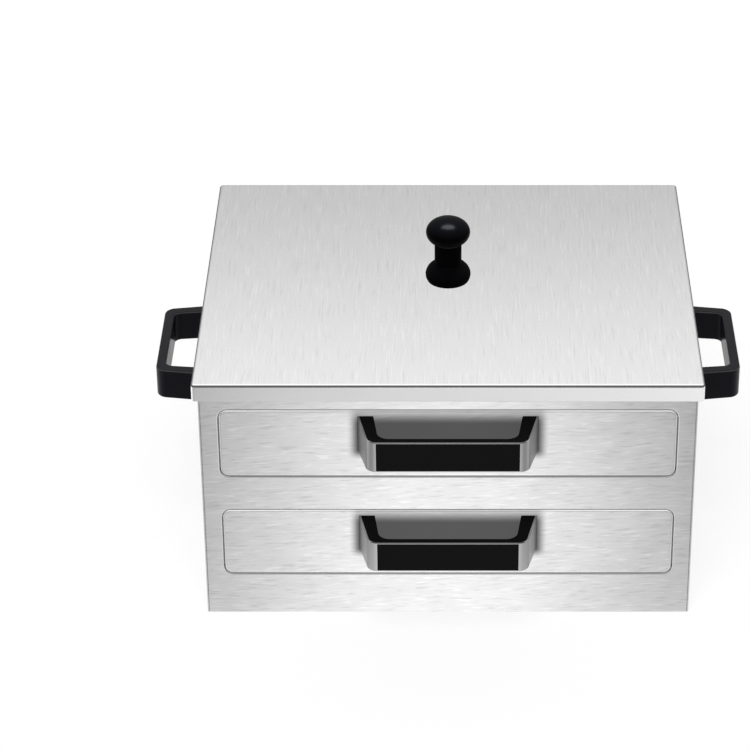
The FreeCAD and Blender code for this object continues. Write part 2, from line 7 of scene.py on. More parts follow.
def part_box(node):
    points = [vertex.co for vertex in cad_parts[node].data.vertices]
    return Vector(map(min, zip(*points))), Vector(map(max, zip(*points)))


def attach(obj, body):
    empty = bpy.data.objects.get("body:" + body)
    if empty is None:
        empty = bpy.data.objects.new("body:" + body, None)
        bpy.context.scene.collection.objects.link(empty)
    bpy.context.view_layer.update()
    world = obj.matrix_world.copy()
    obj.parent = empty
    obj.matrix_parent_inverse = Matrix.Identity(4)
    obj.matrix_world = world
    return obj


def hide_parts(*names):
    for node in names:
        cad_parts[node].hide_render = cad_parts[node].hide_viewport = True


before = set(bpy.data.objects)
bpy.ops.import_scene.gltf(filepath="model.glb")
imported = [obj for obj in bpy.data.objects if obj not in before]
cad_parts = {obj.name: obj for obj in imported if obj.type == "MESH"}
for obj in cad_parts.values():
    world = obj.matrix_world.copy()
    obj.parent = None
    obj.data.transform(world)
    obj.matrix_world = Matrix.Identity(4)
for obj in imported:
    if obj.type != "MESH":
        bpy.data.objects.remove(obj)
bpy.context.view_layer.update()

mm = 0.001
hair = 0.001 * mm       # points nearer than this to a plane or to one another are one
weld = 0.002 * mm       # the same in the last clean-up of a piece
closeBy = 0.01 * mm     # places that count as equal
up = Vector((0, 0, 1))
levels = ("upper", "lower")
sides = ("left", "right")
print("frame loaded")


# shader nodes: maths on sockets, and one method for every other node

class Wire:
    def __init__(self, board, socket):
        self.board = board
        self.socket = socket

    def maths(self, operation, first, second):
        return self.board.wire("Math", 0, {"operation": operation}, {0: first, 1: second})

    def __add__(self, other):
        return self.maths("ADD", self, other)

    def __radd__(self, other):
        return self.maths("ADD", other, self)

    def __sub__(self, other):
        return self.maths("SUBTRACT", self, other)

    def __rsub__(self, other):
        return self.maths("SUBTRACT", other, self)

    def __mul__(self, other):
        return self.maths("MULTIPLY", self, other)

    def __rmul__(self, other):
        return self.maths("MULTIPLY", other, self)

    def __truediv__(self, other):
        return self.maths("DIVIDE", self, other)

    def __rtruediv__(self, other):
        return self.maths("DIVIDE", other, self)

    def __pow__(self, other):
        return self.maths("POWER", self, other)

    def __rpow__(self, other):
        return self.maths("POWER", other, self)

    def most(self, other):
        return self.maths("MAXIMUM", self, other)

    def size(self):
        return self.maths("ABSOLUTE", self, 0)


class Board:
    def __init__(self, tree):
        self.tree = tree

    def node(self, kind, settings=None, sockets=None):
        made = self.tree.nodes.new("ShaderNode" + kind)
        for key, value in (settings or {}).items():
            if key == "stops":
                self.setStops(made.color_ramp, value)
            else:
                setattr(made, key, value)
        for key, value in (sockets or {}).items():
            self.plug(made.inputs[key], value)
        return made

    def wire(self, kind, output, settings=None, sockets=None):
        return Wire(self, self.node(kind, settings, sockets).outputs[output])

    def plug(self, socket, value):
        if isinstance(value, Wire):
            self.tree.links.new(value.socket, socket)
        else:
            socket.default_value = value

    def setStops(self, ramp, stops):
        while len(ramp.elements) < len(stops):
            ramp.elements.new(1.0)
        for element, (place, level) in zip(ramp.elements, stops):
            element.position = place
            element.color = (level, level, level, 1)

    def ramp(self, share, stops):
        return self.wire("ValToRGB", "Color", {"stops": stops}, {"Fac": share})

    def blend(self, share, first, second, kind="MIX"):
        settings = {"data_type": "RGBA", "blend_type": kind}
        return self.wire("Mix", 2, settings, {0: share, 6: first, 7: second})

    def step(self, value, start, end):
        rise = {"Value": value, "From Min": start, "From Max": end}
        return self.wire("MapRange", "Result", {"interpolation_type": "SMOOTHSTEP"}, rise)

    def split(self, vector):
        parts = self.node("SeparateXYZ", {}, {"Vector": vector})
        return [Wire(self, parts.outputs[axis]) for axis in "XYZ"]

    def noise(self, place, sizes, detail=2.0, rough=0.5):
        scale = [1 / size for size in sizes]
        fitted = self.wire("Mapping", 0, {"vector_type": "POINT"}, {"Vector": place, "Scale": scale})
        grain = {"Vector": fitted, "Scale": 1.0, "Detail": detail, "Roughness": rough}
        return self.wire("TexNoise", 0, {}, grain)

    def bump(self, height, strength, distance):
        return self.wire("Bump", 0, {}, {"Strength": strength, "Distance": distance, "Height": height})


def grey(level):
    return (level, level, level, 1.0)


def newFinish(name, constants):
    material = bpy.data.materials.new(name)
    material.use_nodes = True
    board = Board(material.node_tree)
    board.shader = material.node_tree.nodes["Principled BSDF"].inputs
    for key, value in constants.items():
        board.shader[key].default_value = value
    board.place = board.wire("TexCoord", "Object")
    return material, board


# finishes

def brushedSteel(name, look):
    mirror = {"Metallic": 1.0, "Anisotropic": look["stretch"], "Anisotropic Rotation": look["stretchTurn"]}
    material, board = newFinish(name, mirror)
    x, y, z = board.split(board.place)
    across = look["across"]
    along = y if across == "X" else x
    drift = board.noise(board.place, [look["waveLength"]] * 3, 1.0) - 0.5
    shift = drift * look["wave"] + along * look["lean"]
    sway = board.wire("CombineXYZ", 0, {}, {axis: shift for axis in across})
    place = board.wire("VectorMath", 0, {"operation": "ADD"}, {0: board.place, 1: sway})

    def streaks(width, length, detail):
        sizes = [width if axis in across else length for axis in "XYZ"]
        return board.noise(place, sizes, detail, look["grainRough"])

    wider, longer = look["broadTimes"]
    fine = streaks(look["grainWidth"], look["grainLength"], 3.0)
    strokes = streaks(look["strokeWidth"], look["strokeLength"], 1.5)
    broad = streaks(look["strokeWidth"] * wider, look["strokeLength"] * longer, 1.0)
    cloud = board.noise(board.place, [look["cloud"]] * 3, 3.0)
    tone = (fine - 0.5) * look["fineShare"] + (broad - 0.5) * look["broadShare"]
    tone = tone + (cloud - 0.5) * look["cloudShare"]
    faint, full = look["strokeRise"]
    tone = tone + board.step(strokes, 0.5 + faint, 0.5 + full) * look["strokeShare"]
    tone = tone - board.step(strokes, 0.5 - faint, 0.5 - full) * look["strokeShare"]
    height = fine * look["fineRelief"] + strokes * (1 - look["fineRelief"])
    unevenness = strokes + cloud - 1
    if "calm" in look:          # under the top face the brushing is faint and has no relief
        low, high = [look["top"] - drop for drop in look["calm"]]
        flat = board.step(z, low, high)
        tone = tone * (flat * (1 - look["calmTone"]) + look["calmTone"])
        height, unevenness = height * flat, unevenness * flat
    colour = board.blend(tone + 0.5, grey(look["dark"]), grey(look["light"]))
    if "backShadeReach" in look:       # painted shade: darker towards the back
        backShade = board.step(y, -look["backShadeReach"], look["backShadeReach"])
        colour = board.blend(backShade, colour, grey(look["backShadeTone"]), "MULTIPLY")
    if "rim" in look:           # painted tone on the folds round a drawer front and round its opening, but not the outer ones: a painted highlight on a drawer front, painted shade round the panel's openings
        start, full, fade, end = [look["front"] + depth for depth in look["rim"]]
        rim = board.step(y, start, full) * board.step(y, end, fade)
        rim = rim * board.step(x.size(), look["rimReach"] + look["rimSoft"], look["rimReach"])
        colour = board.blend(rim, colour, grey(look["rimTone"]))
    if "foldAt" in look:        # painted highlight: paler along the upright outer folds
        fold = board.step(x.size(), look["foldAt"], look["foldAt"] + look["foldSoft"])
        colour = board.blend(fold, colour, grey(look["paintedFoldLight"]))
    if "paintedDarkLine" in look:          # painted shade: a dark line round the lid's upper folds, a darker top edge on a grip's band
        low, high = [look["top"] - drop for drop in look["paintedDarkLine"]]
        back, soft = look["front"] + look["darkLineBack"], look["darkLineSoft"]
        line = board.step(z, low - soft, low) * board.step(z, high + soft, high)
        line = line * board.step(y, back + soft, back)
        colour = board.blend(line, colour, grey(look["paintedDarkTone"]))
    if "skirtDepth" in look:    # painted highlight: the front skirt is painted paler and made less of a mirror towards one end
        back, full = [look["front"] + depth for depth in look["skirtDepth"]]
        high, low = [look["top"] - drop for drop in look["skirtDrop"]]
        skirt = board.step(y, back, full) * board.step(z, high, low)
        share = x / look["skirtLength"] + 0.5
        colour = board.blend(skirt, colour, board.ramp(share, look["skirtSheenTones"]))
        board.plug(board.shader["Metallic"], 1 - skirt * board.ramp(share, look["skirtMatt"]))
    if "gripTop" in look:       # contact shade where the grip stands on the drawer front
        rise = z - look["gripTop"]
        beside = board.step(x.size(), look["shadeHalf"] + look["shadeSoft"], look["shadeHalf"])
        above = board.step(rise, look["shadeTop"] + look["shadeFade"], look["shadeTop"] - look["shadeFade"])
        below = board.step(rise, look["shadeLow"] - look["shadeSoft"], look["shadeLow"])
        colour = board.blend(beside * above * below, colour, grey(look["shade"]))
    board.plug(board.shader["Base Color"], colour)
    board.plug(board.shader["Roughness"], look["roughness"] + unevenness * look["roughSpread"])
    board.plug(board.shader["Normal"], board.bump(height, look["bump"], look["relief"]))
    return material


panelLow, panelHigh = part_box("front_panel")
lidLow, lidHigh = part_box("lid_panel")

# the grain runs along X on the front and back, along Y on the sides and the lid
# shares are parts of the way from dark to light; drops are under "top", depths behind "front"
frontLook = {"across": "Z", "grainLength": 60 * mm, "grainWidth": 0.5 * mm, "grainRough": 0.6,
             "fineShare": 0.35, "strokeLength": 15 * mm, "strokeWidth": 1.6 * mm, "strokeRise": (0.06, 0.22),
             "strokeShare": 0.5, "broadTimes": (6, 2), "broadShare": 0.5, "wave": 5.0 * mm,
             "waveLength": 60 * mm, "lean": -0.06, "cloud": 45 * mm, "cloudShare": 0.2,
             "dark": 0.605, "light": 0.815, "roughness": 0.30, "roughSpread": 0.08, "bump": 0.3,
             "relief": 0.1 * mm, "fineRelief": 0.4, "stretch": 0.6, "stretchTurn": 0.25}
# the folds round the drawer fronts and their openings take a painted tone: painted shade round the panel's
# openings, a painted highlight round each drawer front
pressedLook = dict(frontLook, front=panelLow.y, rim=(0.02 * mm, 0.15 * mm, 1.5 * mm, 2.0 * mm),
                   rimReach=panelHigh.x - 2.5 * mm, rimSoft=1.0 * mm)
# painted highlight: the panel's upright outer folds painted paler
panelLook = dict(pressedLook, rimTone=0.5, foldAt=panelHigh.x - 0.5 * mm, foldSoft=0.5 * mm, paintedFoldLight=1.0)
drawerLook = dict(pressedLook, dark=0.615, light=0.835, rimTone=1.0, shade=0.080, shadeHalf=70 * mm,
                  shadeSoft=10 * mm, shadeTop=2.15 * mm, shadeFade=9.5 * mm, shadeLow=-31.25 * mm)
lidLook = dict(frontLook, across="X", grainLength=38 * mm, strokeLength=36 * mm, strokeWidth=1.6 * mm,
               wave=2.0 * mm, lean=0.0, fineShare=0.1, broadShare=0.2, strokeShare=0.6, dark=0.692,
               light=0.812, roughness=0.27, bump=0.0, stretch=0.0, top=lidHigh.z, front=lidLow.y,
               # painted shade: the lid darker towards its back
               calm=(0.5 * mm, 0.1 * mm), calmTone=0.1, backShadeReach=240 * mm, backShadeTone=0.70,
               # painted shade: a dark line round the lid's upper folds
               paintedDarkLine=(1.9 * mm, 0.7 * mm), darkLineSoft=0.3 * mm, darkLineBack=1.0, paintedDarkTone=0.16,
               # painted highlight: the front skirt paler and less of a mirror towards one end
               skirtDepth=(2.8 * mm, 1.2 * mm), skirtDrop=(1.6 * mm, 3.1 * mm),
               skirtLength=lidHigh.x - lidLow.x, skirtMatt=[(0.0, 0.05), (0.5, 0.40), (1.0, 0.92)],
               skirtSheenTones=[(0.0, 0.74), (0.3, 0.63), (0.5, 0.66), (1.0, 1.0)])
millLook = dict(frontLook, across="YZ", lean=0.0, grainWidth=1.2 * mm, fineShare=0.3, strokeShare=0.1,
                broadShare=0.2, dark=0.60, light=0.74, roughness=0.36, bump=0.2, stretch=0.3)
bandLook = dict(frontLook, grainWidth=0.35 * mm, grainLength=30 * mm, fineShare=0.15, strokeShare=0.05,
                broadShare=0.1, wave=0.0, lean=0.0, dark=0.36, light=0.48, roughness=0.32, bump=0.05,
                # painted shade: a darker top edge on the band
                stretch=0.0, paintedDarkLine=(0.3 * mm, -0.7 * mm), darkLineSoft=0.3 * mm, darkLineBack=1.9 * mm, paintedDarkTone=0.12)
screwLook = dict(millLook, across="XYZ", grainWidth=0.3 * mm, strokeWidth=1.0 * mm, wave=0.0,
                 roughness=0.26)


def blackMoulding(name, look):
    material, board = newFinish(name, {"IOR": look["ior"]})
    speckle = board.noise(board.place, [look["grain"]] * 3, 3.0)
    cloud = board.noise(board.place, [look["cloud"]] * 3, 2.0)
    tone = (speckle - 0.5) * look["grainShare"] + (cloud - 0.5) * look["cloudShare"] + 0.5
    colour = board.blend(tone, look["dark"], look["light"])
    height = board.split(board.place)[2]
    if "edgeDrop" in look:      # painted highlight: the upper edges are painted paler
        line = board.step((height - (look["top"] - look["edgeDrop"])).size(), look["edgeHalf"], 0)
        colour = board.blend(line * speckle.most(cloud), colour, grey(look["paintedEdgeLight"]))
    board.plug(board.shader["Base Color"], colour)
    rough = look["roughness"] + (cloud - 0.5) * look["roughSpread"] + (speckle - 0.5) * look["roughSpread"]
    if "dull" in look:          # the ball is polished, the neck and the foot are not
        high, low = [look["top"] - drop for drop in look["dull"]]
        rough = rough + board.step(height, high, low) * look["dullMore"]
    board.plug(board.shader["Roughness"], rough)
    board.plug(board.shader["Normal"], board.bump(speckle, look["bump"], look["relief"]))
    return material


mouldedLook = {"ior": 1.15, "grain": 0.8 * mm, "grainShare": 0.5, "cloud": 30 * mm, "cloudShare": 0.6,
               "dark": (0.0056, 0.0054, 0.0072, 1), "light": (0.0098, 0.0094, 0.0125, 1),
               "roughness": 0.22, "roughSpread": 0.10, "bump": 0.25, "relief": 0.05 * mm}
# painted highlight: the handles' upper edges painted paler
handleLook = dict(mouldedLook, top=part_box("left_handle")[1].z, edgeDrop=0.7 * mm, edgeHalf=0.7 * mm,
                  paintedEdgeLight=0.10)
knobLook = dict(mouldedLook, ior=1.07, dark=(0.0006, 0.0006, 0.0008, 1), light=(0.0012, 0.0012, 0.0016, 1),
                roughness=0.24, roughSpread=0.04, top=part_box("lid_knob")[1].z, dull=(14 * mm, 18 * mm),
                dullMore=0.45)
gripLook = dict(mouldedLook, ior=1.07, dark=grey(0.002), light=grey(0.004), roughness=0.42, bump=0.4)
inlayLook = dict(mouldedLook, ior=1.10, dark=grey(0.004), light=grey(0.006), roughness=0.2,
                 roughSpread=0.05, bump=0.08)


def turnedBrass(name, look):
    material, board = newFinish(name, {"Metallic": 1.0})
    grain = board.noise(board.place, [look["grain"]] * 3, 2.0)
    board.plug(board.shader["Base Color"], board.blend(grain, look["dark"], look["light"]))
    board.plug(board.shader["Roughness"], look["roughness"] + grain * look["roughSpread"])
    return material


brassLook = {"grain": 1.1 * mm, "dark": (0.55, 0.38, 0.16, 1), "light": (0.80, 0.62, 0.30, 1),
             "roughness": 0.28, "roughSpread": 0.14}

frontSteel = brushedSteel("frontSteel", frontLook)
panelSteel = brushedSteel("panelSteel", panelLook)
lidSteel = brushedSteel("lidSteel", lidLook)
millSteel = brushedSteel("millSteel", millLook)
screwSteel = brushedSteel("screwSteel", screwLook)
drawerSteel, satinBand = {}, {}
for levelName in levels:
    bandLow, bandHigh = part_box(f"{levelName}_grip_band")
    drawerSteel[levelName] = brushedSteel(f"{levelName}DrawerSteel", dict(drawerLook, gripTop=bandHigh.z))
    satinBand[levelName] = brushedSteel(f"{levelName}SatinBand",
                                        dict(bandLook, top=bandHigh.z, front=bandLow.y))
handleBlack = blackMoulding("handleBlack", handleLook)
knobBlack = blackMoulding("knobBlack", knobLook)
gripBlack = blackMoulding("gripBlack", gripLook)
inlayBlack = blackMoulding("inlayBlack", inlayLook)
insertBrass = turnedBrass("insertBrass", brassLook)
print("finishes made")


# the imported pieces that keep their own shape

def dress(material, *nodes):
    for node in nodes:
        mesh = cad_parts[node].data
        mesh.materials.clear()
        mesh.materials.append(material)


dress(frontSteel, "body_wrap", "top_rim")
dress(millSteel, "water_pan", "knob_washer", *[f"{side}_handle_plate" for side in sides])
dress(insertBrass, "knob_insert", *[f"{side}_handle_inserts" for side in sides])
for levelName in levels:
    dress(millSteel, f"{levelName}_drawer_backing", f"{levelName}_tray")
    dress(millSteel, *[f"{levelName}_{side}_runner" for side in sides])
    dress(insertBrass, f"{levelName}_grip_inserts")
print("packed pieces dressed")


# helpers for new pieces

def near(value, other):
    return abs(value - other) < closeBy


def finish(name, bm, body, material, node, smoothBelow=40):
    bmesh.ops.remove_doubles(bm, verts=bm.verts, dist=weld)
    bmesh.ops.dissolve_degenerate(bm, edges=bm.edges, dist=weld)
    bmesh.ops.recalc_face_normals(bm, faces=bm.faces)
    for face in bm.faces:
        face.smooth = True
    mesh = bpy.data.meshes.new(name)
    bm.to_mesh(mesh)
    bm.free()
    mesh.materials.append(material)
    mesh.set_sharp_from_angle(angle=math.radians(smoothBelow))
    piece = bpy.data.objects.new(name, mesh)
    bpy.context.collection.objects.link(piece)
    even = piece.modifiers.new("evenShading", "WEIGHTED_NORMAL")    # flat faces shade flat up to their rounds
    even.keep_sharp = True
    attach(piece, body)
    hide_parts(node)
    return piece


def roundEdges(bm, edges, offset, segments):
    bmesh.ops.bevel(bm, geom=list(edges), offset=offset, offset_type="OFFSET", segments=segments,
                    profile=0.5, affect="EDGES", material=-1)


def runs(edge, axis):       # parallel to an axis
    ends = [vert.co for vert in edge.verts]
    return all(near(ends[0][other], ends[1][other]) for other in range(3) if other != axis)


def liesAt(edge, height):
    return all(near(vert.co.z, height) for vert in edge.verts)


def blockBetween(low, high):
    bm = bmesh.new()
    bmesh.ops.create_cube(bm, size=1.0)
    bmesh.ops.scale(bm, verts=bm.verts, vec=high - low)
    bmesh.ops.translate(bm, verts=bm.verts, vec=(low + high) / 2)
    return bm


def flatFace(bm, points, height):
    return bm.faces.new([bm.verts.new((x, y, height)) for x, y in points])


def extrudeDown(bm, face, depth):
    grown = bmesh.ops.extrude_face_region(bm, geom=[face], use_keep_orig=True)
    moved = [item for item in grown["geom"] if isinstance(item, bmesh.types.BMVert)]
    bmesh.ops.translate(bm, verts=moved, vec=(0, 0, -depth))


def moveFace(bm, face, vector, grow=0):      # draws a face out or in, and widens it
    grown = bmesh.ops.extrude_face_region(bm, geom=[face])
    moved = [item for item in grown["geom"] if isinstance(item, bmesh.types.BMVert)]
    half = [max(abs(vert.co[axis]) for vert in moved) for axis in (0, 1)]
    bmesh.ops.scale(bm, verts=moved, vec=(1 + grow / half[0], 1 + grow / half[1], 1))
    bmesh.ops.translate(bm, verts=moved, vec=vector)
    bmesh.ops.delete(bm, geom=[face], context="FACES_ONLY")
    return next(item for item in grown["geom"] if isinstance(item, bmesh.types.BMFace))


# lid knob

knobSizes = {"footR": 18.6 * mm, "footHalf": 12.7 * mm, "footZ": 5.0 * mm, "neckR": 11.1 * mm,
             "ballR": 18.2 * mm, "ballHalf": 12.3 * mm, "boreR": 3.6 * mm, "boreDepth": 17 * mm,
             "throatRound": 0.5 * mm, "throatSteps": 3, "steps": 96, "arcSteps": 26, "smoothBelow": 60}


def ovalArc(radius, half, height, start, end, steps):       # points as (out from the axis, up)
    angles = [start + (end - start) * step / steps for step in range(steps + 1)]
    return [(radius * math.cos(turn), height + half * math.sin(turn)) for turn in angles]


def makeKnob(sizes):
    low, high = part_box("lid_knob")
    footZ, ballZ = low.z + sizes["footZ"], high.z - sizes["ballHalf"]
    footEnd = math.acos(sizes["neckR"] / sizes["footR"])
    ballStart = -math.acos(sizes["neckR"] / sizes["ballR"])
    profile = [(0, low.z + sizes["boreDepth"]), (sizes["boreR"], low.z + sizes["boreDepth"]),
               (sizes["boreR"], low.z)]
    profile += ovalArc(sizes["footR"], sizes["footHalf"], footZ,
                       -math.asin(sizes["footZ"] / sizes["footHalf"]), footEnd, sizes["arcSteps"])
    profile += ovalArc(sizes["ballR"], sizes["ballHalf"], ballZ, ballStart, math.pi / 2, sizes["arcSteps"])
    bm = bmesh.new()
    verts = [bm.verts.new((out, 0, height)) for out, height in profile]
    edges = [bm.edges.new(pair) for pair in zip(verts, verts[1:])]
    bmesh.ops.spin(bm, geom=verts + edges, cent=(0, 0, 0), axis=up, angle=2 * math.pi,
                   steps=sizes["steps"], use_merge=True)
    bmesh.ops.remove_doubles(bm, verts=bm.verts, dist=hair)
    throats = (footZ + sizes["footHalf"] * math.sin(footEnd), ballZ + sizes["ballHalf"] * math.sin(ballStart))
    rings = [edge for edge in bm.edges if any(liesAt(edge, throat) for throat in throats)]
    roundEdges(bm, rings, sizes["throatRound"], sizes["throatSteps"])
    return finish("lidKnob", bm, "lid", knobBlack, "lid_knob", sizes["smoothBelow"])


knob = makeKnob(knobSizes)
print("lid knob made")


# lid

lidSizes = {"sheet": 1.0 * mm, "hem": 4.0 * mm, "cornerR": 2.8 * mm, "foldR": 2.4 * mm, "hemR": 0.7 * mm,
            "cornerSteps": 5, "foldSteps": 6, "hemSteps": 3}      # cornerR stays over foldR


def makeLid(sizes):
    low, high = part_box("lid_panel")
    bm = blockBetween(low, high)
    roundEdges(bm, [edge for edge in bm.edges if runs(edge, 2)], sizes["cornerR"], sizes["cornerSteps"])
    roundEdges(bm, [edge for edge in bm.edges if liesAt(edge, high.z)], sizes["foldR"], sizes["foldSteps"])
    bottom = next(face for face in bm.faces if all(near(vert.co.z, low.z) for vert in face.verts))
    bmesh.ops.inset_region(bm, faces=[bottom], thickness=2 * sizes["sheet"], use_even_offset=True)
    inner = moveFace(bm, bottom, (0, 0, sizes["hem"]))
    inner = moveFace(bm, inner, (0, 0, 0), sizes["sheet"])
    moveFace(bm, inner, (0, 0, high.z - low.z - sizes["hem"] - sizes["sheet"]))
    roundEdges(bm, [edge for edge in bm.edges if liesAt(edge, low.z)], sizes["hemR"], sizes["hemSteps"])
    finish("lidPanel", bm, "lid", lidSteel, "lid_panel")


makeLid(lidSizes)
print("lid made")


# front panel, pressed from one sheet

panelSizes = {"sheet": 1.0 * mm, "gap": 0.35 * mm, "cornerR": 7.2 * mm, "rebate": 4.0 * mm,
              "ledge": 8.0 * mm, "foldSteps": 4, "cornerSteps": 10}
# the openings follow the drawer fronts, so the sizes of those stand here too
frontSizes = {"sheet": 1.0 * mm, "grow": 0.3 * mm, "cornerR": 6.9 * mm, "foldR": 1.9 * mm,
              "cornerSteps": 10, "foldSteps": 6}


def edgeRing(bm, low, high, radius=0, steps=0):     # a rectangle of edges, facing front
    before = set(bm.edges)
    corners = [(low.x, low.z), (high.x, low.z), (high.x, high.z), (low.x, high.z)]
    face = bm.faces.new([bm.verts.new((x, low.y, z)) for x, z in corners])
    if radius:
        bmesh.ops.bevel(bm, geom=face.verts[:], offset=radius, offset_type="OFFSET", segments=steps,
                        profile=0.5, affect="VERTICES", material=-1)
    bmesh.ops.delete(bm, geom=bm.faces[:], context="FACES_ONLY")
    return [edge for edge in bm.edges if edge not in before]


def drawIn(bm, ring, inward, back, climb=1):        # carries a ring of edges inwards and back
    grown = bmesh.ops.extrude_edge_only(bm, edges=ring)["geom"]
    verts = [item for item in grown if isinstance(item, bmesh.types.BMVert)]
    low, high = (Vector([pick(vert.co[axis] for vert in verts) for axis in range(3)]) for pick in (min, max))
    middle, half = (low + high) / 2, (high - low) / 2
    bmesh.ops.scale(bm, verts=verts, vec=(1 - inward / half.x, 1, 1 - climb * inward / half.z),
                    space=Matrix.Translation(-middle))
    bmesh.ops.translate(bm, verts=verts, vec=(0, back, 0))
    return [item for item in grown if isinstance(item, bmesh.types.BMEdge) and
            all(vert in verts for vert in item.verts)]


def foldMoves(radius, steps):           # how far a fold goes sideways and back at each step
    turns = [math.pi / 2 * step / steps for step in range(steps + 1)]
    places = [(radius * math.sin(turn), radius * (1 - math.cos(turn))) for turn in turns]
    return [(after[0] - before[0], after[1] - before[1]) for before, after in zip(places, places[1:])]


def makeFrontPanel(sizes):
    low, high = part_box("front_panel")
    sheet, moves = sizes["sheet"], foldMoves(sizes["sheet"], sizes["foldSteps"])
    cornerR = sizes["cornerR"] + sheet
    side = Vector((sheet, 0, 0))
    bm = bmesh.new()
    outline = edgeRing(bm, low + side, high - side)
    rings = []
    for levelName in levels:
        left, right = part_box(f"{levelName}_drawer_front")       # its lower left and upper right corners
        spread = sizes["gap"] + frontSizes["grow"] + sheet
        spread = Vector((spread, 0, spread))
        rings.append(edgeRing(bm, left - spread, right + spread, cornerR, sizes["cornerSteps"]))
    bmesh.ops.triangle_fill(bm, edges=outline + rings[0] + rings[1], use_beauty=True)
    for ring in rings:
        for inward, back in moves + [(0, sizes["rebate"] - sheet), (sizes["ledge"], 0)]:
            ring = drawIn(bm, ring, inward, back)
    flange = [edge for edge in outline if runs(edge, 2)]
    for outward, back in moves + [(0, high.y - low.y - sheet)]:
        flange = drawIn(bm, flange, -outward, back, climb=0)
    bmesh.ops.recalc_face_normals(bm, faces=bm.faces)
    outside = next(face for face in bm.faces if all(near(vert.co.y, low.y) for vert in face.verts))
    if outside.normal.y > 0:
        bmesh.ops.reverse_faces(bm, faces=bm.faces)
    bmesh.ops.solidify(bm, geom=bm.faces, thickness=sheet)
    finish("frontPanel", bm, "cabinet", panelSteel, "front_panel")


makeFrontPanel(panelSizes)
print("front panel made")


# drawer fronts

def makeDrawerFront(levelName, sizes):
    low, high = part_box(f"{levelName}_drawer_front")
    grow = Vector((sizes["grow"], 0, sizes["grow"]))
    bm = blockBetween(low - grow, high + grow)
    roundEdges(bm, [edge for edge in bm.edges if runs(edge, 1)], sizes["cornerR"], sizes["cornerSteps"])
    front = [edge for edge in bm.edges if all(near(vert.co.y, low.y) for vert in edge.verts)]
    roundEdges(bm, front, sizes["foldR"], sizes["foldSteps"])
    back = next(face for face in bm.faces if all(near(vert.co.y, high.y) for vert in face.verts))
    bmesh.ops.inset_region(bm, faces=[back], thickness=sizes["sheet"], use_even_offset=True)
    moveFace(bm, back, (0, low.y + sizes["sheet"] - high.y, 0))
    finish(f"{levelName}DrawerFront", bm, f"{levelName}_drawer",
           drawerSteel[levelName], f"{levelName}_drawer_front")


for levelName in levels:
    makeDrawerFront(levelName, frontSizes)
print("drawer fronts made")


# side handles

handleSizes = {"footHalf": 58.5 * mm, "barHalf": 51.5 * mm, "reach": 45 * mm, "footT": 10.6 * mm,
               "legT": 9 * mm, "barT": 8 * mm, "outerR": 9 * mm, "innerR": 6.5 * mm, "edgeR": 1.4 * mm,
               "edgeSteps": 4}
splayed = 0.86          # offset of a round over its radius, at a corner that the splay opens
roundSteps = 8
offWall = 0.1 * mm      # nearer to the wall than this, an edge belongs to a foot and stays sharp


def loopHalf(sizes, depth, inset):      # half width of a splayed loop, at a depth out from its feet
    splay = (sizes["footHalf"] - sizes["barHalf"]) / sizes["reach"]
    return sizes["footHalf"] - splay * depth - inset * math.hypot(1, splay)


# corners of a loop as (out, along): its outside, then back round its inside
def loopOutline(sizes, inset, barInset, footT, legT, barT):
    outTip, inTip = sizes["reach"] - barInset, sizes["reach"] - barT
    outer = [(0, loopHalf(sizes, 0, inset)), (outTip, loopHalf(sizes, outTip, inset))]
    inner = [(inTip, loopHalf(sizes, inTip, legT)), (0, sizes["footHalf"] - footT)]
    outside = [(out, -along) for out, along in outer] + outer[::-1]
    return outside + inner[::-1] + [(out, -along) for out, along in inner]


def roundCorners(bm, tip, radius):      # upright edges at one distance out
    corners = [edge for edge in bm.edges if runs(edge, 2) and near(edge.verts[0].co.x, tip)]
    roundEdges(bm, corners, radius * splayed, roundSteps)


def makeHandle(side, sizes):
    low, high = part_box(f"{side}_handle")
    wall = min(abs(low.x), abs(high.x))
    points = loopOutline(sizes, 0, 0, sizes["footT"], sizes["legT"], sizes["barT"])
    bm = bmesh.new()
    extrudeDown(bm, flatFace(bm, points, high.z), high.z - low.z)
    roundCorners(bm, sizes["reach"], sizes["outerR"])
    roundCorners(bm, sizes["reach"] - sizes["barT"], sizes["innerR"])
    rims = [edge for edge in bm.edges if liesAt(edge, high.z) or liesAt(edge, low.z)]
    rims = [edge for edge in rims if any(vert.co.x > offWall for vert in edge.verts)]
    roundEdges(bm, rims, sizes["edgeR"], sizes["edgeSteps"])
    bmesh.ops.translate(bm, verts=bm.verts, vec=(wall, 0, 0))
    if side == "left":
        bmesh.ops.scale(bm, verts=bm.verts, vec=(-1, 1, 1))
    finish(f"{side}Handle", bm, "cabinet", handleBlack, f"{side}_handle")


for side in sides:
    makeHandle(side, handleSizes)
print("side handles made")


# drawer grips

gripSizes = {"footHalf": 71.2 * mm, "barHalf": 62.7 * mm, "reach": 40 * mm, "barH": 26.5 * mm,
             "rise": 31 * mm, "footT": 12.8 * mm, "legT": 9.8 * mm, "barT": 6.4 * mm, "outerR": 8 * mm,
             "innerR": 9.5 * mm, "bandT": 1.6 * mm, "bandFootT": 1.6352 * mm, "edgeR": 0.5 * mm,
             "edgeSteps": 3, "inlayEdge": 0.15 * mm, "inlaySteps": 2}


# a loop raised from its outline, its underside climbing from feet to bar, turned to point to -Y
def makeLoop(points, top, footLow, barLow, rise, corners, wall):
    bm = bmesh.new()
    extrudeDown(bm, flatFace(bm, points, top), top - footLow)
    for tip, radius in corners:
        roundCorners(bm, tip, radius)
    bmesh.ops.bisect_plane(bm, geom=bm.verts[:] + bm.edges[:] + bm.faces[:], dist=hair,
                           plane_co=(rise, 0, 0), plane_no=(1, 0, 0))
    for vert in bm.verts:
        if near(vert.co.z, footLow):
            vert.co.z += (barLow - footLow) * min(1, vert.co.x / rise)
    bmesh.ops.rotate(bm, verts=bm.verts, cent=(0, 0, 0), matrix=Matrix.Rotation(-math.pi / 2, 3, "Z"))
    bmesh.ops.translate(bm, verts=bm.verts, vec=(0, wall, 0))
    return bm


